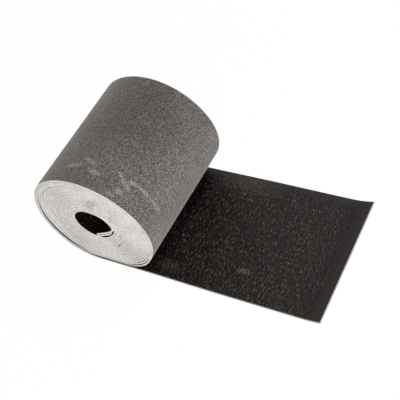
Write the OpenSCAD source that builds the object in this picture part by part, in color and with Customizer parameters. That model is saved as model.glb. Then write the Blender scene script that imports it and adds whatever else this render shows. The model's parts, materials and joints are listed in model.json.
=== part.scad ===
// Roll of roofing felt: one long sheet wound on itself, with its free end laid out flat in front.
// The film-faced side of the sheet is inside the turns and its sanded side is outside.
// X runs along the laid-out end, Y along the roll's axis, and Z up from the floor.
// The origin is on the floor below the roll's axis, at the middle of the sheet's width.

/* [Sheet] */
// Width of the sheet, along the roll's axis
sheet_width = 240; // [100:5:1000]
// Thickness of the sheet
sheet_thickness = 3.4; // [2:0.1:5]
// Distance from below the roll's axis to the sheet's free end
tail_reach = 383; // [260:1:900]

/* [Roll] */
// Number of full turns on the roll
turns = 21; // [6:1:30]
// Diameter of the open middle of the roll
bore_d = 68; // [40:1:120]
// How much wider than high the roll has settled under its own weight
settle = 13; // [2:1:24]
// Height of the nip between the roll and the laid-out end, where the two press together
nip_height = 0.6; // [0.3:0.1:2]

/* [Turns on the ends] */
// Width of the line that shows between one turn and the next
line_width = 0.5; // [0.3:0.1:1]
// Depth of that line into the roll's end
line_depth = 1; // [0.5:0.1:4]

/* [Loose stretch of the outer turns] */
// Number of turns that have come loose together
loose_turns = 2; // [1:1:3]
// Widest gap behind the loose stretch
loose_gap = 3.2; // [1:0.1:4]
// Angle round the roll at which the loose stretch starts, counted up from the free end's side
loose_from = 162; // [150:1:190]
// Angle at which it ends, short of the floor
loose_to = 262; // [240:1:264]

/* [Ends of the sheet] */
// Length of the free end that curls up
curl_length = 30; // [15:1:60]
// Height to which its underside has curled
curl_rise = 3; // [1:0.5:10]
// Angle round the bore at which the sheet's inner end shows as a step
inner_end_angle = 257; // [200:1:300]
// Angle over which the step runs out into the bore's wall
inner_end_taper = 60; // [30:1:80]

/* [Hidden] */
$fn = 180;
half_width = sheet_width / 2;
// The turns are half-circles: those on the right are about a centre half a sheet higher than those on the left
roll_r = neat(bore_d / 2 + sheet_thickness / 4 + turns * sheet_thickness);
roll_height = 2 * roll_r;
half_step = neat(sheet_thickness / 2);
left_centre_z = roll_r;
right_centre_z = roll_r + half_step;
bore_centre_z = roll_r + half_step / 2;
// Cutting shapes only have to reach past everything
cutter = 2 * (roll_height + settle + tail_reach);
// Pressed together, the line between turns is finer on its level stretches, which lap into the round ones
level_width = 0.8 * line_width;
level_lap = 1;
// Where the roll's right side stands off the laid-out end by the height of the nip
outer_right_r = right_radius(0);
nip_length = sqrt(2 * outer_right_r * nip_height - nip_height * nip_height);
// The loose stretch is an arc about a centre shifted towards its middle
loose_middle = (loose_from + loose_to) / 2;
loose_half = (loose_to - loose_from) / 2;
loose_shift = (loose_gap - line_width) / (1 - cos(loose_half));
loose_inner_r = left_radius(loose_turns) + loose_gap - loose_shift;
loose_x = -half_gap(loose_turns) + loose_shift * cos(loose_middle);
loose_z = left_centre_z + loose_shift * sin(loose_middle);
// The curl is an arc that starts level with the floor
curl_r = neat((curl_length * curl_length + curl_rise * curl_rise) / (2 * curl_rise));
curl_angle = asin(curl_length / curl_r);
curl_x = tail_reach - curl_length;
// The step at the inner end is cut by a smaller circle set to one side of the bore
step_shift = sheet_thickness / (1 - cos(inner_end_taper));
step_r = bore_d / 2 + sheet_thickness - step_shift;

// To the nearest hundredth of a millimetre, so that round and level stretches meet
function neat(size) = round(size * 100) / 100;
// Half the level stretch between the two sides of a turn, counted inward from the outermost
function half_gap(turn) = neat(settle / 2 * (1 - turn / turns));
// Radius of the outer face of a turn, on the left and on the right of the roll
function left_radius(turn) = roll_r - turn * sheet_thickness;
function right_radius(turn) = roll_r - half_step - turn * sheet_thickness;

// Everything on one side of the upright line at x, to the left for side -1 and to the right for side 1
module side_of(x, side) {
    translate([x, 0]) rotate(-90 * side) translate([-cutter / 2, 0]) square([cutter, cutter]);
}

// Half a disc whose flat side is upright through its centre
module half_disc(x, z, r, side) {
    intersection() {
        translate([x, z]) circle(r);
        side_of(x, side);
    }
}

// Sector of the plane between two angles less than half a turn apart
module sector(x, z, from, to) {
    translate([x, z]) polygon([
        [0, 0],
        cutter * [cos(from), sin(from)],
        cutter * [cos((from + to) / 2), sin((from + to) / 2)],
        cutter * [cos(to), sin(to)]
    ]);
}

// Ring about a centre, between two radii
module ring(x, z, inner_r, outer_r) {
    translate([x, z]) difference() {
        circle(outer_r);
        circle(inner_r);
    }
}

// Line along half a turn, centred on the turn's outer face
module half_line(x, z, r, side) {
    intersection() {
        ring(x, z, r - line_width / 2, r + line_width / 2);
        side_of(x, side);
    }
}

// Level line between two round ones, centred on a height
module level_line(x_from, x_to, z) {
    translate([x_from - level_lap, z - level_width / 2]) square([x_to - x_from + 2 * level_lap, level_width]);
}

// Outline of the wound part: two half-discs and the level stretch between them
module wound_outline() {
    half_disc(-half_gap(0), left_centre_z, left_radius(0), -1);
    half_disc(half_gap(0), right_centre_z, right_radius(0), 1);
    translate([-half_gap(0), 0]) square([2 * half_gap(0), roll_height]);
}

// Outer face of the loose stretch, which swells past the wound outline but not below the floor
module loose_outline() {
    intersection() {
        translate([loose_x, loose_z]) circle(loose_inner_r + loose_turns * sheet_thickness);
        translate([-cutter / 2, 0]) square([cutter, cutter]);
    }
}

// Part of the section in which the loose stretch lies
module loose_sector() {
    sector(-half_gap(loose_turns), left_centre_z, loose_from, loose_to);
}

// Crescent gap behind the loose stretch, as wide at its ends as the lines between turns
module loose_crescent() {
    intersection() {
        difference() {
            translate([loose_x, loose_z]) circle(loose_inner_r);
            translate([-half_gap(loose_turns), left_centre_z]) circle(left_radius(loose_turns));
        }
        loose_sector();
    }
}

// Line outside a turn of the loose stretch, a little wider than where the turns press together
module loose_line(turn) {
    r = loose_inner_r + (loose_turns - turn) * sheet_thickness;
    intersection() {
        ring(loose_x, loose_z, r - line_width, r + line_width / 2);
        loose_sector();
    }
}

// Free end of the sheet: flat on the floor from under the roll, then curling up
module laid_out_end() {
    square([curl_x, sheet_thickness]);
    translate([half_gap(0), 0]) square([nip_length, outer_right_r / 2]);
    intersection() {
        ring(curl_x, curl_r, curl_r - sheet_thickness, curl_r);
        sector(curl_x, curl_r, -90, -90 + curl_angle);
    }
}

// Open middle of the roll, with the step that the sheet's inner end leaves in its wall
module bore_outline() {
    translate([0, bore_centre_z]) circle(bore_d / 2);
    intersection() {
        translate([0, bore_centre_z]) rotate(inner_end_angle) translate([step_shift, 0]) circle(step_r);
        sector(0, bore_centre_z, inner_end_angle - inner_end_taper, inner_end_angle);
    }
}

// Line along the left half of a turn, following the loose stretch where the turn is part of it
module left_line(turn) {
    if (turn < loose_turns) {
        difference() {
            half_line(-half_gap(turn), left_centre_z, left_radius(turn), -1);
            loose_sector();
        }
        loose_line(turn);
    } else {
        half_line(-half_gap(turn), left_centre_z, left_radius(turn), -1);
    }
}

// The line between the turns, winding inward from the nip to the bore
module winding_line() {
    level_line(-half_gap(1), half_gap(0) + nip_length, sheet_thickness);
    for (turn = [1 : turns - 1]) {
        left_line(turn);
        level_line(-half_gap(turn), half_gap(turn), roll_height - turn * sheet_thickness);
        half_line(half_gap(turn), right_centre_z, right_radius(turn), 1);
    }
    for (turn = [2 : turns - 1]) {
        level_line(-half_gap(turn), half_gap(turn - 1), turn * sheet_thickness);
    }
}

// Stands a drawn section up across the sheet's width, from one place along it to another
module across(y_from, y_to) {
    translate([0, y_to, 0]) rotate([90, 0, 0]) linear_extrude(y_to - y_from) children();
}

module felt_roll() {
    color("dimgray") difference() {
        across(-half_width, half_width) difference() {
            union() {
                wound_outline();
                loose_outline();
                laid_out_end();
            }
            loose_crescent();
            bore_outline();
        }
        across(-half_width - line_depth, -half_width + line_depth) winding_line();
        across(half_width - line_depth, half_width + line_depth) winding_line();
    }
}

felt_roll();
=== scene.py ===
import json
import math

import bpy
import numpy as np
from mathutils import Matrix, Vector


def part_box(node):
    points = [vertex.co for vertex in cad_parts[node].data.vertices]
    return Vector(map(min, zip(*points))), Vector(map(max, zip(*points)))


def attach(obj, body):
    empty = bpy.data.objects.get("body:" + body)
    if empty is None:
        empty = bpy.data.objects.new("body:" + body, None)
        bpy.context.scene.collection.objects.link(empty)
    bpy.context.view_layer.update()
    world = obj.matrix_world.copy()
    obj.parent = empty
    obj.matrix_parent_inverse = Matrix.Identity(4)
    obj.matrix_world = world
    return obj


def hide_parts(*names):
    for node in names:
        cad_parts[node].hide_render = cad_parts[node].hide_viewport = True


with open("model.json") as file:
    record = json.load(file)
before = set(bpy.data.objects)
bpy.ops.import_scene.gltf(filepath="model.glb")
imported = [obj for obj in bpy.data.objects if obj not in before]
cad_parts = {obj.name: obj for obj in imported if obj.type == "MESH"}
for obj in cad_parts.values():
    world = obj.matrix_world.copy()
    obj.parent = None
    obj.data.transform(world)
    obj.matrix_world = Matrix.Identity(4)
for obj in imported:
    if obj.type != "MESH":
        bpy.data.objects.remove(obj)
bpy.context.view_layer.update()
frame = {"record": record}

# All sizes are millimetres until the mesh is made; angles go round the roll, from the free end's side up
MM = 0.001
NODE = "felt_roll"
low, high = (np.array(corner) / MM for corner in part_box(NODE))
bore = next(mount for mount in frame["record"]["mounts"] if mount["name"] == "bore")
HALF_WIDTH = (high[1] - low[1]) / 2
LEFT, REACH = low[0], high[0]
ROLL_TOP = high[2]
CENTRE_X, _, CENTRE_Z = np.array(bore["pos_m"]) / MM
random = np.random.default_rng(7)

# The sheet: its thickness, the small chamfer on its cut edges, and how far its edges wander sideways
SHEET = 3.4
CHAMFER = 0.25
EDGE_WANDER = 0.3
# Degrees of turning from one wander of the edges to the next, and until they wander in full
WANDER_SPACING = 240
WANDER_FULL = 200

# The winding: half axes of its outline and of its bore, which has sprung a little oval
WINDINGS = 20
OUTLINE = {"right": 113.7, "top": ROLL_TOP - CENTRE_Z + SHEET / 2, "left": 112.7, "bottom": 114.6}
BORE = {"right": 37.0, "top": 29.8, "left": 32.8, "bottom": 30.2}
BORE_FLAT, BORE_FLAT_ANGLE, BORE_FLAT_BLEND = 32.0, 312.0, 6.0
BORE_BULGE_FROM, BORE_BULGE_TO, BORE_BULGE = 4, 84, 1.4
FLOOR_BLEND = 4.0
# A flat side's distance is divided by the cosine to it, which is kept from nearing 0
LEAST_COSINE = 0.2
START_ANGLE = 270.0
ROOT_ANGLE = 3.0
ROOT_TURN = WINDINGS + (START_ANGLE - ROOT_ANGLE) / 360

# Loose stretches: angles where they start, open widest and end, the opening, and how many turns in they reach
LOOSE = (
    (146, 222, 254, 6.0, 1.5),
    (128, 145, 162, 0.5, 0.5),
    (281, 304, 330, 2.0, 1.0),
)
# Places deeper in the roll where two turns have parted: the same angles, the opening, and how many turns in
# it lies; the taper is the number of turns further out over which the opening is taken up
PARTED = (
    (286, 308, 334, 0.9, 1.95),
    (118, 140, 165, 0.6, 3.4),
    (282, 306, 332, 0.6, 13.9),
    (318, 338, 359, 0.5, 16.8),
    (318, 338, 359, 0.6, 19.1),
    (150, 185, 222, 0.7, 12.25),
    (20, 48, 76, 0.5, 18.6),
    (150, 180, 205, 0.6, 8.25),
)
PARTED_TAPER = 9
# The roll stands a little off the laid-out end: angles over which the gap opens and closes, its height, and
# the turn from which it lifts the sheet
LIFT_OPENS, LIFT_CLOSES, LIFT = (214, 246), (288, 316), 2.9
LIFT_FROM_TURN = 0.7
# The outer turn swells towards its back end, on the side of the free end
SWELL_FROM, SWELL_TO, SWELL = 285, 400, 3.6

# The sheet's inner end: it springs in across the bore and is folded back under itself
FLAP_LENGTH = 50.0
FLAP_BEND = 7.5
FLAP_HEADING = 207.0
FOLD_GAP = 0.8
FOLD_BACK = 33.0

# How finely the sheet is made: steps along its laid-out end and its inner end in millimetres, and degrees
# of turning for a step where the sheet is on show and where it is covered
TAIL_STEP = 0.8
FLAP_STEP = 1.5
SHOWN_STEP, COVERED_STEP = 2.0, 4.0
# The sanded face shows for the first so many degrees, and the film in the bore for the last so many turns
SHOWN_TURNING = 400
BORE_TURNS = 1.3
# Points across a face that is covered, on show, or crinkled
COVERED, SHOWN, CRINKLED = 3, 31, 101
# Between these places under the roll the crinkles run out, and nearer than the last the film is covered
NIP_BAND = (32, 50)
NIP_COVERED = 30
FOLD_POINTS = 13
SHARP_EDGE = math.radians(35)

# The free end curls up, more at the back corner than at the front
CURL_LENGTH = 40.0
CURL_FRONT = 3.0
CURL_BACK = 6.5
# It was pulled a little longer and wider than the solid's, which is straight
STRETCH = 3.2
FLARE_FROM, FLARE_TO, FLARE = 60.0, 220.0, 1.2
TAIL_END = REACH + STRETCH
# The free end was cut at a slant: its film face stops short of its sanded face
CUT_LEAN, CUT_LEAN_LENGTH = 1.2, 6.0

# Crinkles in the film: ridges that run across the sheet
RIDGES = 7000
RIDGE_WIDTH = (0.45, 0.8)
RIDGE_LENGTH = (4.0, 10.0)
RIDGE_HEIGHT = (0.25, 0.95)
RIDGE_SLANT = math.radians(14)

# Film left smooth along the free end and the back edge: where the crinkles end and where they are full
END_BAND = (8, 26)
BACK_BAND = (3, 14)
# Pale dashes, painted glints that are partly dust, thin out before the same edges
GLINT_AND_DUST_END = (6, 90)
GLINT_AND_DUST_BACK = (2, 24)
# How much of them shows inside the roll
IN_ROLL_GLINT_AND_DUST = 0.5
# Pale smears on the film: places along and across of both ends, half width and strength
SMEARS = (
    (214.0, -70.3, 247.0, -68.6, 6.0, 1.1),
    (66.0, -92.0, 138.0, -104.0, 16.0, 0.3),
    (97.0, 105.3, 241.7, 107.4, 30.0, 0.4),
)

SMEAR_COLOUR = (0.12, 0.11, 0.10)
# Colour of the pale dashes: painted glints, partly dust
GLINT_AND_DUST_COLOUR = (0.27, 0.241, 0.217)
# The smooth bands look hazier than the crinkled film
BAND_COLOUR = (0.017, 0.0145, 0.0135)

# Rubbed streaks on the sanded face: angle and place across of both ends, half width and strength
SCUFFS = (
    (107.0, -89.5, 91.5, -81.8, 6.7, 0.62),
    (82.9, -86.2, 71.7, -88.9, 7.2, 0.67),
    (91.6, -68.0, 79.1, -75.5, 7.0, 0.56),
    (59.9, -68.7, 53.5, -75.5, 4.7, 0.67),
    (53.5, -75.5, 49.4, -82.9, 7.5, 0.67),
    (49.4, -82.9, 43.5, -87.0, 7.5, 0.62),
    (48.1, -75.4, 39.8, -72.2, 7.0, 0.64),
    (39.8, -72.2, 25.3, -73.2, 5.3, 0.67),
    (53.2, -99.2, 46.2, -98.6, 8.5, 0.62),
    (21.2, -73.8, 7.6, -75.9, 5.3, 0.59),
    (59.7, -111.5, 51.2, -111.3, 5.3, 0.51),
)
SCUFF_COLOUR = (0.40, 0.38, 0.365)
# A streak is drawn out past its ends, and is full over most of its width
SCUFF_STRETCH, SCUFF_NARROWING, SCUFF_DEPTH = 1.4, 0.8, 4
SCUFF_FULL, SCUFF_GAIN = 0.7, 1.2
# Stretches of the sanded face in another colour: a browner tone on the left, painted shade over the top and
# painted light on the side towards the free end. Each gives angle and place across of the middle, half sizes
# along the roll, round it and out of it, and what the colour is multiplied by
TONES_AND_PAINTED_LIGHT = (
    # A browner tone on the left side
    (130.0, -20.0, (190.0, 105.0, 80.0), (1.0, 0.87, 0.79)),
    # Painted shade: the top of the roll is made darker
    (72.0, 55.0, (120.0, 85.0, 60.0), (0.74, 0.74, 0.74)),
    # Painted light: the side towards the free end is made brighter
    (0.0, -20.0, (200.0, 75.0, 60.0), (1.25, 1.25, 1.25)),
)
# Grey smudges on the front end: place, half length, half width and strength
SMUDGES = (
    (12.0, 161.0, 13.0, 13.0, 0.42),
    (20.0, 169.0, 14.0, 10.0, 0.48),
    (28.0, 175.0, 9.0, 7.0, 0.32),
    (46.0, 134.0, 15.0, 12.0, 0.34),
    (52.0, 128.0, 10.0, 9.0, 0.20),
    (-60.0, 62.0, 42.0, 46.0, 0.16),
    (-52.0, 92.0, 20.0, 40.0, 0.12),
)
SMUDGE_COLOUR = (0.16, 0.15, 0.13)
SMUDGE_DEPTH = 20
# The laid-out end's cut edges are greyed with sand, from clear of the roll on
GREYED_FROM, GREYED_TO = 60.0, 100.0
END_GREYED = 0.7
# Those under the roll are greyed towards the floor, and those of the turns just above them a little
UNDER_FROM, UNDER_TO = -50.0, -20.0
UNDER_GREYED = 0.4
GREYED_COLOUR = (0.22, 0.21, 0.195)

# The camera, fitted to the photo: place in metres, angles in degrees, and focal length and frame in pixels
CAMERA_PLACE = (0.7812, -0.7151, 1.1482)
CAMERA_AZIMUTH, CAMERA_ELEVATION, CAMERA_ROLL = 42.258, 48.081, -20.193
FOCAL_PX, FRAME_PX = 869.33, 400
# The studio: light from all round, the floor's side and drop in metres and how far it shows white, and
# lamps by place, aim, side and watts
WORLD_LIGHT = 0.42
FLOOR_SIDE, FLOOR_DROP, FLOOR_GLOW = 20.0, 0.0002, 0.98
LAMPS = {
    "key": ((1.45, -1.1, 0.9), (0.0, 0.0, 0.1), 1.6, 36.5),
    "top": ((0.43, 0.74, 1.42), (0.25, 0.0, 0.0), 0.25, 10.0),
    "left": ((-1.2, 0.2, 0.45), (0.0, 0.0, 0.1), 0.8, 1.5),
}


def smooth_min(a, b, width):
    """The lesser of two lengths, rounded off where they are closer than a width."""
    return np.minimum(a, b) - np.maximum(width - np.abs(a - b), 0) ** 2 / (4 * width)


def smooth_step(x, start, end):
    """0 before start, 1 after end, and smooth between them."""
    t = np.clip((x - start) / (end - start), 0, 1)
    return t * t * (3 - 2 * t)


def hump(angle, start, peak, end):
    """1 at a peak, falling smoothly to 0 at the angles on either side of it."""
    return np.sin(math.pi / 2 * np.interp(angle, (start, peak, end), (0, 1, 2))) ** 2


def oval(angle, axes):
    """Radius of a closed curve with its own half axis to each side."""
    c, s = np.cos(np.radians(angle)), np.sin(np.radians(angle))
    across = np.where(c > 0, axes["right"], axes["left"])
    upright = np.where(s > 0, axes["top"], axes["bottom"])
    return 1 / np.hypot(c / across, s / upright)


def wander(length, spacing, amount):
    """Seeded smooth variation along the sheet, one new value for each spacing."""
    knots = np.arange(0, length + 2 * spacing, spacing)
    values = random.uniform(-amount, amount, len(knots))
    return lambda s: np.interp(s, knots, values)


def winding_points(turned):
    """Points of the sheet's outer face, after turning through so many degrees from below the axis."""
    angle = (START_ANGLE - turned) % 360
    turn = turned / 360
    down = np.minimum(np.sin(np.radians(angle)), -LEAST_COSINE)
    outline = smooth_min(oval(angle, OUTLINE), CENTRE_Z / -down, FLOOR_BLEND)
    facing = np.maximum(np.cos(np.radians(angle - BORE_FLAT_ANGLE)), LEAST_COSINE)
    inside = smooth_min(oval(angle, BORE), BORE_FLAT / facing, BORE_FLAT_BLEND)
    bulge_peak = (BORE_BULGE_FROM + BORE_BULGE_TO) / 2
    inside = inside + BORE_BULGE * hump(angle, BORE_BULGE_FROM, bulge_peak, BORE_BULGE_TO)
    spacing = (outline - SHEET - inside) / ROOT_TURN
    radius = outline - turn * spacing
    for start, peak, end, opening, last_turn in LOOSE:
        radius = radius + opening * hump(angle, start, peak, end) * (turn < last_turn)
    for start, peak, end, opening, parted_turn in PARTED:
        taper = np.clip(1 - (parted_turn - turn) / PARTED_TAPER, 0, 1) * (turn < parted_turn)
        radius = radius + opening * hump(angle, start, peak, end) * taper
    lifted = smooth_step(angle, *LIFT_OPENS) * (1 - smooth_step(angle, *LIFT_CLOSES))
    lift = LIFT * lifted * (turn > LIFT_FROM_TURN)
    radius = radius - lift * np.clip((ROOT_TURN - turn) / ROOT_TURN, 0, 1)
    points = np.stack([radius * np.cos(np.radians(angle)), radius * np.sin(np.radians(angle))], -1)
    points += (CENTRE_X, CENTRE_Z)
    points[:, 1] = np.maximum(points[:, 1], 0)
    return points


def left_of(directions):
    """Unit normals to the left of the way along the sheet, which is its sanded side."""
    unit = directions / np.linalg.norm(directions, axis=1, keepdims=True)
    return np.stack([-unit[:, 1], unit[:, 0]], -1)


def tail_path(places):
    """Middle line and normals of the laid-out end, from its free edge to below the axis."""
    middle = np.stack([places, np.full_like(places, SHEET / 2)], -1)
    normals = np.tile((0.0, -1.0), (len(places), 1))
    return middle, normals


def winding_path(turned):
    """Middle line and normals of the wound sheet."""
    step = 0.05
    outer = winding_points(turned)
    normals = left_of(winding_points(turned + step) - winding_points(np.maximum(turned - step, 0)))
    return outer - normals * SHEET / 2, normals


def flap_path(start, heading, step):
    """Middle line and normals of the inner end: across the bore, round the fold and back."""
    reach = np.arange(0, FLAP_LENGTH, step)
    settled = math.radians(FLAP_HEADING)
    headings = settled + (heading - settled) * np.exp(-(reach + step / 2) / FLAP_BEND)
    moves = step * np.stack([np.cos(headings), np.sin(headings)], -1)
    there = start + np.cumsum(moves, axis=0)
    there_normals = left_of(moves)
    fold_radius = (SHEET + FOLD_GAP) / 2
    fold_angles = np.linspace(0, math.pi, FOLD_POINTS)[1:-1]
    side, ahead = there_normals[-1], moves[-1] / step
    pivot = there[-1] + side * fold_radius
    fold = np.array([pivot + fold_radius * (math.sin(a) * ahead - math.cos(a) * side) for a in fold_angles])
    fold_normals = (pivot - fold) / fold_radius
    back_count = int(FOLD_BACK / step)
    back = (there + there_normals * 2 * fold_radius)[::-1][:back_count]
    back_normals = -there_normals[::-1][:back_count]
    return np.concatenate([there, fold, back]), np.concatenate([there_normals, fold_normals, back_normals])


def crinkle_field(xs, ys):
    """Height of the film's crinkles over a grid of places on the laid-out end."""
    field = np.zeros((len(xs), len(ys)))
    for _ in range(RIDGES):
        x, y = random.uniform(xs.min(), xs.max()), random.uniform(ys.min(), ys.max())
        width, length = random.uniform(*RIDGE_WIDTH), random.uniform(*RIDGE_LENGTH)
        height = RIDGE_HEIGHT[0] + (RIDGE_HEIGHT[1] - RIDGE_HEIGHT[0]) * random.random() ** 2
        slant = random.normal(0, RIDGE_SLANT)
        near_x = np.flatnonzero(np.abs(xs - x) < length / 2 * abs(math.sin(slant)) + 3 * width)
        near_y = np.flatnonzero(np.abs(ys - y) < length / 2)
        if not len(near_x) or not len(near_y):
            continue
        dx, dy = np.meshgrid(xs[near_x] - x, ys[near_y] - y, indexing="ij")
        across = dx * math.cos(slant) + dy * math.sin(slant)
        along = dy * math.cos(slant) - dx * math.sin(slant)
        taper = np.cos(np.clip(along / length, -0.5, 0.5) * math.pi) ** 2
        ridge = height * np.exp(-0.5 * (across / width) ** 2) * taper
        window = np.ix_(near_x, near_y)
        field[window] = np.maximum(field[window], ridge)
    return field


class SheetMesh:
    """The closed skin of a long sheet, made of one loop across it at each place along it."""

    SANDED, FILM, CUT = 0, 1, 2

    def __init__(self):
        self.points = []
        self.faces = []
        self.kinds = []
        self.count = 0
        self.last = None

    def row(self, points):
        """Adds points and gives their numbers."""
        numbers = np.arange(self.count, self.count + len(points))
        self.points.append(points)
        self.count += len(points)
        return numbers

    def add(self, face, kind):
        self.faces.append([int(number) for number in face])
        self.kinds.append(kind)

    def strip(self, a, b, kind):
        """Joins two rows, with triangles where they have different numbers of points."""
        if len(a) == len(b):
            for i in range(len(a) - 1):
                self.add((a[i], b[i], b[i + 1], a[i + 1]), kind)
            return
        i = j = 0
        while i < len(a) - 1 or j < len(b) - 1:
            on_a = (i + 1) / (len(a) - 1) if i < len(a) - 1 else 2
            on_b = (j + 1) / (len(b) - 1) if j < len(b) - 1 else 2
            if on_a < on_b:
                self.add((a[i], b[j], a[i + 1]), kind)
                i += 1
            else:
                self.add((a[i], b[j], b[j + 1]), kind)
                j += 1

    def cross(self, middle, normal, half, shift, outer_count, inner_count,
              relief=None, rise=None, swell=0, flare=0, lean=0):
        """One loop across the sheet: sanded face, back edge, film face and front edge."""
        def place(y, out):
            base = middle + normal * out
            return np.stack([np.full_like(y, base[0]), y, np.full_like(y, base[1])], -1)

        face = HALF_WIDTH - CHAMFER
        outer_y = np.linspace(-face, face, outer_count)
        inner_y = np.linspace(-face, face, inner_count)
        rows = {"outer": place(outer_y, half), "inner": place(inner_y, -half)}
        if relief is not None:
            rows["inner"][:, [0, 2]] -= normal * relief[:, None]
        for name, y in (("front", -HALF_WIDTH), ("back", HALF_WIDTH)):
            edge = place(np.full(2, y), 0)
            edge[:, [0, 2]] += np.outer((half - CHAMFER, CHAMFER - half), normal)
            rows[name] = edge
        numbers = {}
        for name, points in rows.items():
            points[:, 1] += shift
            points[:, 0] -= lean * points[:, 2] / SHEET
            if rise is not None:
                points[:, 2] += rise(points[:, 1])
            points[:, 1] *= 1 + flare / HALF_WIDTH
            towards_back = (points[:, 1] + HALF_WIDTH) / (2 * HALF_WIDTH)
            points[:, [0, 2]] += np.outer(swell * towards_back, normal)
            numbers[name] = self.row(points)
        return numbers

    def advance(self, loop):
        """Joins a new loop to the one before it, or closes the sheet's first end."""
        if self.last is None:
            self.cap(loop, first=True)
        else:
            a, b = self.last, loop
            self.strip(a["outer"], b["outer"], self.SANDED)
            self.strip(b["inner"], a["inner"], self.FILM)
            for side, turn in (("front", 1), ("back", -1)):
                end = 0 if side == "front" else -1
                ring_a = [a["outer"][end], *a[side], a["inner"][end]]
                ring_b = [b["outer"][end], *b[side], b["inner"][end]]
                for i in range(3):
                    quad = (ring_a[i], ring_a[i + 1], ring_b[i + 1], ring_b[i])
                    self.add(quad[::turn], self.CUT)
        self.last = loop

    def cap(self, loop, first):
        """Closes an end of the sheet."""
        start = len(self.faces)
        self.strip(loop["inner"], loop["outer"], self.CUT)
        front, back = loop["front"], loop["back"]
        self.add((loop["inner"][0], front[1], front[0], loop["outer"][0]), self.CUT)
        self.add((loop["outer"][-1], back[0], back[1], loop["inner"][-1]), self.CUT)
        if not first:
            for i in range(start, len(self.faces)):
                self.faces[i].reverse()

    def build(self, name, materials):
        mesh = bpy.data.meshes.new(name)
        mesh.from_pydata(np.concatenate(self.points) * MM, [], self.faces)
        mesh.polygons.foreach_set("material_index", self.kinds)
        mesh.polygons.foreach_set("use_smooth", [True] * len(self.faces))
        mesh.set_sharp_from_angle(angle=SHARP_EDGE)
        for material in materials:
            mesh.materials.append(material)
        mesh.validate()
        piece = bpy.data.objects.new(name, mesh)
        bpy.context.scene.collection.objects.link(piece)
        return piece


def build_sheet(materials):
    """The whole sheet, from its free end, through the roll, to its folded inner end."""
    skin = SheetMesh()
    half = SHEET / 2
    places = np.append(np.arange(TAIL_END - CHAMFER, CENTRE_X, -TAIL_STEP), CENTRE_X)
    places = np.concatenate([[TAIL_END], places])
    middle, normals = tail_path(places)
    inner_y = np.linspace(-HALF_WIDTH + CHAMFER, HALF_WIDTH - CHAMFER, CRINKLED)
    relief = crinkle_field(places, inner_y)
    smooth_end = smooth_step(TAIL_END - places, *END_BAND)
    smooth_nip = smooth_step(places, *NIP_BAND)
    smooth_back = smooth_step(HALF_WIDTH - inner_y, *BACK_BAND)
    relief *= (smooth_end * smooth_nip)[:, None] * smooth_back[None, :]

    def curl(place):
        share = max(place - TAIL_END + CURL_LENGTH, 0) / CURL_LENGTH
        middle_rise, slope = (CURL_FRONT + CURL_BACK) / 2, (CURL_BACK - CURL_FRONT) / (2 * HALF_WIDTH)
        return lambda y: share ** 2 * (middle_rise + slope * y)

    for i, place in enumerate(places):
        thinner = CHAMFER if i == 0 else 0
        in_nip = place < NIP_COVERED
        skin.advance(skin.cross(
            middle[i], normals[i], half - thinner, 0,
            COVERED, COVERED if in_nip else CRINKLED, None if in_nip else relief[i], curl(place),
            flare=FLARE * smooth_step(place, FLARE_FROM, FLARE_TO),
            lean=CUT_LEAN * max(0, 1 - (TAIL_END - place) / CUT_LEAN_LENGTH)))

    last = 360 * ROOT_TURN
    turned = np.concatenate([
        np.arange(SHOWN_STEP, SHOWN_TURNING, SHOWN_STEP),
        np.arange(SHOWN_TURNING, last - 1, COVERED_STEP),
        [last]])
    middle, normals = winding_path(turned)
    side_shift = wander(last, WANDER_SPACING, EDGE_WANDER)
    for i, angle in enumerate(turned):
        shown = angle < SHOWN_TURNING
        in_bore = angle > last - 360 * BORE_TURNS
        swell_place = START_ANGLE + 360 - angle
        swell = SWELL * hump(swell_place, SWELL_FROM, (SWELL_FROM + SWELL_TO) / 2, SWELL_TO)
        skin.advance(skin.cross(
            middle[i], normals[i], half, side_shift(angle) * smooth_step(angle, 0, WANDER_FULL),
            SHOWN if shown else COVERED, SHOWN if in_bore else COVERED, swell=swell))

    heading = math.atan2(-normals[-1][0], normals[-1][1])
    heading += 2 * math.pi * (heading < 0)
    last_shift = side_shift(turned[-1])
    middle, normals = flap_path(middle[-1], heading, FLAP_STEP)
    for i in range(len(middle)):
        thinner = CHAMFER if i == len(middle) - 1 else 0
        skin.advance(skin.cross(middle[i], normals[i], half - thinner, last_shift, COVERED, SHOWN))
    skin.cap(skin.last, first=False)
    return skin.build("felt_sheet", materials)


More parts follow.
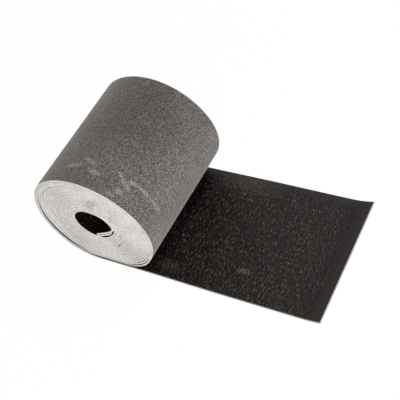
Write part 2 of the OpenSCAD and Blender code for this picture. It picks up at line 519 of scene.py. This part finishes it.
class Nodes:
    """Short forms for making a material's nodes."""

    def __init__(self, name):
        self.material = bpy.data.materials.new(name)
        self.material.use_nodes = True
        self.tree = self.material.node_tree
        self.tree.nodes.clear()
        self.place = self.add("ShaderNodeTexCoord").outputs["Object"]

    def add(self, kind, **settings):
        node = self.tree.nodes.new(kind)
        for key, value in settings.items():
            setattr(node, key, value)
        return node

    def put(self, value, socket):
        """Sets a socket, or links another node's output to it."""
        if isinstance(value, bpy.types.NodeSocket):
            self.tree.links.new(value, socket)
        else:
            socket.default_value = value

    def noise(self, size_mm, detail=3.0, roughness=0.55, stretch=(1, 1, 1)):
        """Noise whose patches are about so large, drawn out along an axis by a stretch above 1."""
        noise = self.add("ShaderNodeTexNoise")
        self.put(self.scaled(size_mm, stretch), noise.inputs["Vector"])
        noise.inputs["Scale"].default_value = 1.0
        noise.inputs["Detail"].default_value = detail
        noise.inputs["Roughness"].default_value = roughness
        return noise.outputs["Fac"]

    def scaled(self, size_mm, stretch):
        """The place as a multiple of a size, which an axis draws out by a stretch above 1."""
        mapping = self.add("ShaderNodeMapping")
        self.put(self.place, mapping.inputs["Vector"])
        mapping.inputs["Scale"].default_value = [1 / (size_mm * MM * s) for s in stretch]
        return mapping.outputs["Vector"]

    def cells(self, size_mm, stretch=(1, 1, 1)):
        """Small cells: a level of its own for each, and how far from its middle as a share of its size."""
        cells = self.add("ShaderNodeTexVoronoi")
        self.put(self.scaled(size_mm, stretch), cells.inputs["Vector"])
        cells.inputs["Scale"].default_value = 1.0
        return cells.outputs["Color"], cells.outputs["Distance"]

    def ramp(self, value, *stops):
        """Colours, or grey levels, at places along a value."""
        ramp = self.add("ShaderNodeValToRGB")
        elements = ramp.color_ramp.elements
        while len(elements) < len(stops):
            elements.new(0.5)
        for element, (position, colour) in zip(elements, stops):
            element.position = position
            element.color = (*colour, 1) if hasattr(colour, "__len__") else (colour, colour, colour, 1)
        self.put(value, ramp.inputs["Fac"])
        return ramp.outputs["Color"]

    def fade(self, place, edge, band):
        """1 up to a band along an edge of the sheet, and falling to 0 across it."""
        return self.ramp(place, ((edge - band[1]) * MM, 1.0), ((edge - band[0]) * MM, 0.0))

    def math(self, operation, a, b=0.0):
        node = self.add("ShaderNodeMath", operation=operation)
        self.put(a, node.inputs[0])
        self.put(b, node.inputs[1])
        return node.outputs[0]

    def mix(self, share, a, b, blend="MIX"):
        node = self.add("ShaderNodeMix", data_type="RGBA", blend_type=blend)
        self.put(share, node.inputs["Factor"])
        self.put((*a, 1) if isinstance(a, tuple) else a, node.inputs["A"])
        self.put((*b, 1) if isinstance(b, tuple) else b, node.inputs["B"])
        return node.outputs["Result"]

    def spot(self, centre, along, out, sizes):
        """1 at the middle of a stretched ball and 0 from its surface on.

        The sizes are its half axes along, across and out.
        """
        across = np.cross(out, along)
        turn = Matrix(np.stack([along, across, out], -1).tolist())
        mapping = self.add("ShaderNodeMapping", vector_type="TEXTURE")
        self.put(self.place, mapping.inputs["Vector"])
        mapping.inputs["Location"].default_value = [length * MM for length in centre]
        mapping.inputs["Rotation"].default_value = turn.to_euler()
        mapping.inputs["Scale"].default_value = [length * MM for length in sizes]
        ball = self.add("ShaderNodeTexGradient", gradient_type="SPHERICAL")
        self.put(mapping.outputs["Vector"], ball.inputs["Vector"])
        return ball.outputs["Fac"]

    def bump(self, height, distance_mm, strength):
        node = self.add("ShaderNodeBump")
        node.inputs["Distance"].default_value = distance_mm * MM
        node.inputs["Strength"].default_value = strength
        self.put(height, node.inputs["Height"])
        return node.outputs["Normal"]

    def surface(self, **inputs):
        """Ends the material in a Principled shader with these inputs."""
        shader = self.add("ShaderNodeBsdfPrincipled")
        for name, value in inputs.items():
            self.put(value, shader.inputs[name.replace("_", " ")])
        output = self.add("ShaderNodeOutputMaterial")
        self.put(shader.outputs["BSDF"], output.inputs["Surface"])
        return self.material


def on_roll(angle, y):
    """Place on the outer turn, and the direction out of it."""
    turned = np.array([(START_ANGLE - angle) % 360])
    x, z = winding_points(turned)[0]
    out = np.array((math.cos(math.radians(angle)), 0, math.sin(math.radians(angle))))
    return np.array((x, y, z)), out


def scuff_marks(n):
    """Pale streaks where the sanded face has been rubbed."""
    total = 0.0
    for from_angle, from_y, to_angle, to_y, half_width, strength in SCUFFS:
        start, _ = on_roll(from_angle, from_y)
        end, _ = on_roll(to_angle, to_y)
        centre, out = on_roll((from_angle + to_angle) / 2, (from_y + to_y) / 2)
        along = end - start
        half_length = np.linalg.norm(along) / 2
        along = along - out * along.dot(out)
        along = along / np.linalg.norm(along)
        sizes = (SCUFF_STRETCH * half_length, SCUFF_NARROWING * half_width, half_width + SCUFF_DEPTH)
        streak = n.spot(centre, along, out, sizes)
        streak = n.ramp(streak, (0.0, 0.0), (SCUFF_FULL, SCUFF_GAIN * strength))
        total = n.math("MAXIMUM", streak, total)
    return total


def sanded_material():
    """Grey mineral sand pressed into the outer face, with browner patches, pale scuffs, painted shade over
    the top and painted light on the side towards the free end.
    """
    n = Nodes("sanded_face")
    grain = n.ramp(
        n.cells(0.8)[0], (0.15, (0.022, 0.020, 0.018)), (0.6, (0.080, 0.075, 0.070)),
        (0.9, (0.32, 0.30, 0.28)))
    tone = n.ramp(n.noise(38, 3), (0.35, (0.88, 0.82, 0.78)), (0.65, (1.0, 0.985, 0.97)))
    colour = n.mix(1.0, grain, tone, "MULTIPLY")
    # A browner tone, painted shade over the top and painted light on the side towards the free end
    for angle, y, half_sizes, tint_and_light in TONES_AND_PAINTED_LIGHT:
        place, out = on_roll(angle, y)
        tone_and_light_share = n.ramp(n.spot(place, np.array((0, 1, 0)), out, half_sizes), (0.0, 0.0), (0.6, 1.0))
        colour = n.mix(tone_and_light_share, colour, n.mix(1.0, colour, tint_and_light, "MULTIPLY"))
    broken = n.ramp(n.noise(1.8, 4, 0.75), (0.42, 0.05), (0.62, 0.9))
    colour = n.mix(n.math("MULTIPLY", scuff_marks(n), broken), colour, SCUFF_COLOUR)
    height = n.math("ADD", n.noise(1.6, 3, 0.7), n.noise(4.5, 2))
    return n.surface(
        Base_Color=colour, Roughness=0.95, Specular_IOR_Level=0.2,
        Sheen_Weight=0.3, Sheen_Roughness=0.5, Normal=n.bump(height, 0.5, 0.8))


def film_material():
    """Black film with a soft gloss and fine crinkles, and pale dashes painted in as glints, partly dust."""
    n = Nodes("film_face")
    fine = n.noise(1.8, 3, 0.6, (1, 3, 1))
    patches = n.noise(45, 2)
    colour = n.ramp(patches, (0.3, (0.0028, 0.0022, 0.0018)), (0.7, (0.0054, 0.0044, 0.0039)))
    # Pale dashes across the sheet: painted glints, partly dust
    level, from_middle = n.cells(1.15, (1, 9, 1))
    glints_and_dust = n.ramp(from_middle, (0.1, 1.0), (0.3, 0.0))
    glints_and_dust = n.math("MULTIPLY", glints_and_dust, n.ramp(level, (0.2, 0.1), (0.9, 1.0)))
    split = n.add("ShaderNodeSeparateXYZ")
    n.put(n.place, split.inputs[0])
    x, y = split.outputs["X"], split.outputs["Y"]
    crinkled = n.math("MULTIPLY", n.fade(x, TAIL_END, END_BAND), n.fade(y, HALF_WIDTH, BACK_BAND))
    glint_and_dust_fade = n.math("MULTIPLY", n.fade(x, TAIL_END, GLINT_AND_DUST_END), n.fade(y, HALF_WIDTH, GLINT_AND_DUST_BACK))
    colour = n.mix(crinkled, BAND_COLOUR, colour)
    glints_and_dust = n.math("MULTIPLY", glints_and_dust, glint_and_dust_fade)
    in_roll = n.ramp(split.outputs["Z"], (3 * SHEET * MM, 1.0), (6 * SHEET * MM, IN_ROLL_GLINT_AND_DUST))
    glints_and_dust = n.math("MULTIPLY", glints_and_dust, in_roll)
    colour = n.mix(glints_and_dust, colour, GLINT_AND_DUST_COLOUR)
    broken = n.ramp(n.noise(3, 3, 0.7), (0.4, 0.0), (0.6, 1.0))
    for from_x, from_y, to_x, to_y, half_width, strength in SMEARS:
        start, end = np.array((from_x, from_y, SHEET)), np.array((to_x, to_y, SHEET))
        half_length = np.linalg.norm(end - start) / 2
        along = (end - start) / (2 * half_length)
        smear = n.spot((start + end) / 2, along, np.array((0, 0, 1)), (half_length, half_width, half_width))
        smear = n.math("MULTIPLY", n.math("MULTIPLY", smear, strength), broken)
        colour = n.mix(smear, colour, SMEAR_COLOUR)
    gloss = n.ramp(n.noise(9, 3), (0.3, 0.34), (0.7, 0.44))
    return n.surface(
        Base_Color=colour, Roughness=gloss, Specular_IOR_Level=0.15, Specular_Tint=(1.0, 0.87, 0.84, 1.0),
        Normal=n.bump(fine, 0.5, 0.65))


def cut_material():
    """Pale cut edge of the felt, with fibres and grey smudges."""
    n = Nodes("cut_edge")
    fibre = n.ramp(n.noise(1.2, 4, 0.7), (0.25, (0.565, 0.542, 0.522)), (0.7, (0.74, 0.713, 0.692)))
    dirt = n.ramp(n.noise(38, 3), (0.30, (0.86, 0.86, 0.86)), (0.55, (1.0, 1.0, 1.0)))
    mottle = n.ramp(n.noise(6, 4, 0.75), (0.36, 0.80), (0.56, 1.03))
    colour = n.mix(1.0, n.mix(1.0, fibre, dirt, "MULTIPLY"), mottle, "MULTIPLY")
    smudged = 0.0
    for x, z, half_length, half_width, strength in SMUDGES:
        ball = n.spot((x, -HALF_WIDTH, z), (1, 0, 0), (0, -1, 0), (half_length, half_width, SMUDGE_DEPTH))
        smudge = n.ramp(ball, (0.0, 0.0), (0.55, strength))
        smudged = n.math("MAXIMUM", smudge, smudged)
    blotches = n.ramp(n.noise(8, 3, 0.65), (0.36, 0.15), (0.62, 1.0))
    colour = n.mix(n.math("MULTIPLY", smudged, blotches), colour, SMUDGE_COLOUR)
    split = n.add("ShaderNodeSeparateXYZ")
    n.put(n.place, split.inputs[0])
    along = n.ramp(
        split.outputs["X"], (GREYED_FROM * MM, 0.0), (GREYED_TO * MM, 1.0),
        ((TAIL_END - SHEET) * MM, 1.0), ((TAIL_END - SHEET / 4) * MM, END_GREYED))
    above = n.ramp(split.outputs["Z"], (3 * SHEET * MM, 1.0), (4 * SHEET * MM, 0.0))
    greyed = n.math("MULTIPLY", along, above)
    from_left = n.math("SUBTRACT", split.outputs["X"], LEFT * MM)
    under = n.ramp(from_left, ((UNDER_FROM - LEFT) * MM, 0.0), ((UNDER_TO - LEFT) * MM, 1.0))
    near_floor = n.ramp(
        split.outputs["Z"], (SHEET * MM, 1.0), (1.5 * SHEET * MM, UNDER_GREYED), (5 * SHEET * MM, 0.0))
    greyed = n.math("MAXIMUM", greyed, n.math("MULTIPLY", under, near_floor))
    colour = n.mix(greyed, colour, GREYED_COLOUR)
    return n.surface(
        Base_Color=colour, Roughness=0.9, Specular_IOR_Level=0.2, Normal=n.bump(n.noise(0.9, 3), 0.2, 0.5))


def shown_white(tree):
    """1 for what is seen straight or in a reflection, and 0 for the light that falls on the object."""
    path = tree.nodes.new("ShaderNodeLightPath")
    share = path.outputs["Is Camera Ray"]
    for name in ("Is Glossy Ray", "Is Transmission Ray"):
        add = tree.nodes.new("ShaderNodeMath")
        add.operation = "MAXIMUM"
        tree.links.new(share, add.inputs[0])
        tree.links.new(path.outputs[name], add.inputs[1])
        share = add.outputs[0]
    return share


def make_world(level):
    """Even light from all round, in front of which the background shows white."""
    world = bpy.data.worlds.new("studio")
    world.use_nodes = True
    tree = world.node_tree
    tree.nodes.clear()
    light = tree.nodes.new("ShaderNodeBackground")
    light.inputs["Color"].default_value = (1.0, 0.985, 0.965, 1)
    light.inputs["Strength"].default_value = level
    white = tree.nodes.new("ShaderNodeBackground")
    white.inputs["Color"].default_value = (1, 1, 1, 1)
    white.inputs["Strength"].default_value = 1.0
    mix = tree.nodes.new("ShaderNodeMixShader")
    output = tree.nodes.new("ShaderNodeOutputWorld")
    tree.links.new(shown_white(tree), mix.inputs["Fac"])
    tree.links.new(light.outputs[0], mix.inputs[1])
    tree.links.new(white.outputs[0], mix.inputs[2])
    tree.links.new(mix.outputs[0], output.inputs["Surface"])
    bpy.context.scene.world = world


def make_floor(size, glow):
    """Pale floor that shows white but keeps a soft shadow under the object."""
    material = bpy.data.materials.new("studio_floor")
    material.use_nodes = True
    tree = material.node_tree
    tree.nodes.clear()
    matt = tree.nodes.new("ShaderNodeBsdfDiffuse")
    matt.inputs["Color"].default_value = (0.86, 0.86, 0.86, 1)
    white = tree.nodes.new("ShaderNodeEmission")
    share = tree.nodes.new("ShaderNodeMath")
    share.operation = "MULTIPLY"
    share.inputs[1].default_value = glow
    mix = tree.nodes.new("ShaderNodeMixShader")
    output = tree.nodes.new("ShaderNodeOutputMaterial")
    tree.links.new(shown_white(tree), share.inputs[0])
    tree.links.new(share.outputs[0], mix.inputs["Fac"])
    tree.links.new(matt.outputs[0], mix.inputs[1])
    tree.links.new(white.outputs[0], mix.inputs[2])
    tree.links.new(mix.outputs[0], output.inputs["Surface"])
    half = size / 2
    mesh = bpy.data.meshes.new("floor")
    corners = [(-half, -half, 0), (half, -half, 0), (half, half, 0), (-half, half, 0)]
    mesh.from_pydata(corners, [], [(0, 1, 2, 3)])
    mesh.materials.append(material)
    floor = bpy.data.objects.new("floor", mesh)
    floor.location.z = -FLOOR_DROP
    bpy.context.scene.collection.objects.link(floor)


def make_lamp(name, place, aim, size, watts):
    """Square soft lamp that looks at a point."""
    data = bpy.data.lights.new(name, "AREA")
    data.size = size
    data.energy = watts
    lamp = bpy.data.objects.new(name, data)
    place, aim = np.array(place), np.array(aim)
    backward = (place - aim) / np.linalg.norm(place - aim)
    right = np.cross((0, 0, 1), backward)
    right /= np.linalg.norm(right)
    up = np.cross(backward, right)
    turn = Matrix(np.stack([right, up, backward], -1).tolist()).to_4x4()
    lamp.matrix_world = Matrix.Translation(place.tolist()) @ turn
    bpy.context.scene.collection.objects.link(lamp)


def make_camera(place, azimuth, elevation, roll, focal_px, image_px):
    """Camera at a place, looking down by an elevation and turned about its own line of sight."""
    azimuth, elevation, roll = (math.radians(angle) for angle in (azimuth, elevation, roll))
    level = np.array((math.cos(azimuth), math.sin(azimuth), 0))
    ahead = np.array((-math.sin(azimuth) * math.cos(elevation),
                      math.cos(azimuth) * math.cos(elevation),
                      -math.sin(elevation)))
    above = np.cross(level, ahead)
    right = math.cos(roll) * level + math.sin(roll) * above
    up = math.cos(roll) * above - math.sin(roll) * level
    data = bpy.data.cameras.new("camera")
    data.sensor_width = 36.0
    data.lens = focal_px / image_px * data.sensor_width
    camera = bpy.data.objects.new("camera", data)
    turn = Matrix(np.stack([right, up, -ahead], -1).tolist()).to_4x4()
    camera.matrix_world = Matrix.Translation(place) @ turn
    bpy.context.scene.collection.objects.link(camera)
    bpy.context.scene.camera = camera


make_camera(CAMERA_PLACE, CAMERA_AZIMUTH, CAMERA_ELEVATION, CAMERA_ROLL, FOCAL_PX, FRAME_PX)
sheet = build_sheet([sanded_material(), film_material(), cut_material()])
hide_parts(NODE)
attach(sheet, "root")

make_world(WORLD_LIGHT)
make_floor(FLOOR_SIDE, FLOOR_GLOW)
for name, (place, aim, side, watts) in LAMPS.items():
    make_lamp(name, place, aim, side, watts)
bpy.context.scene.view_settings.view_transform = "Standard"
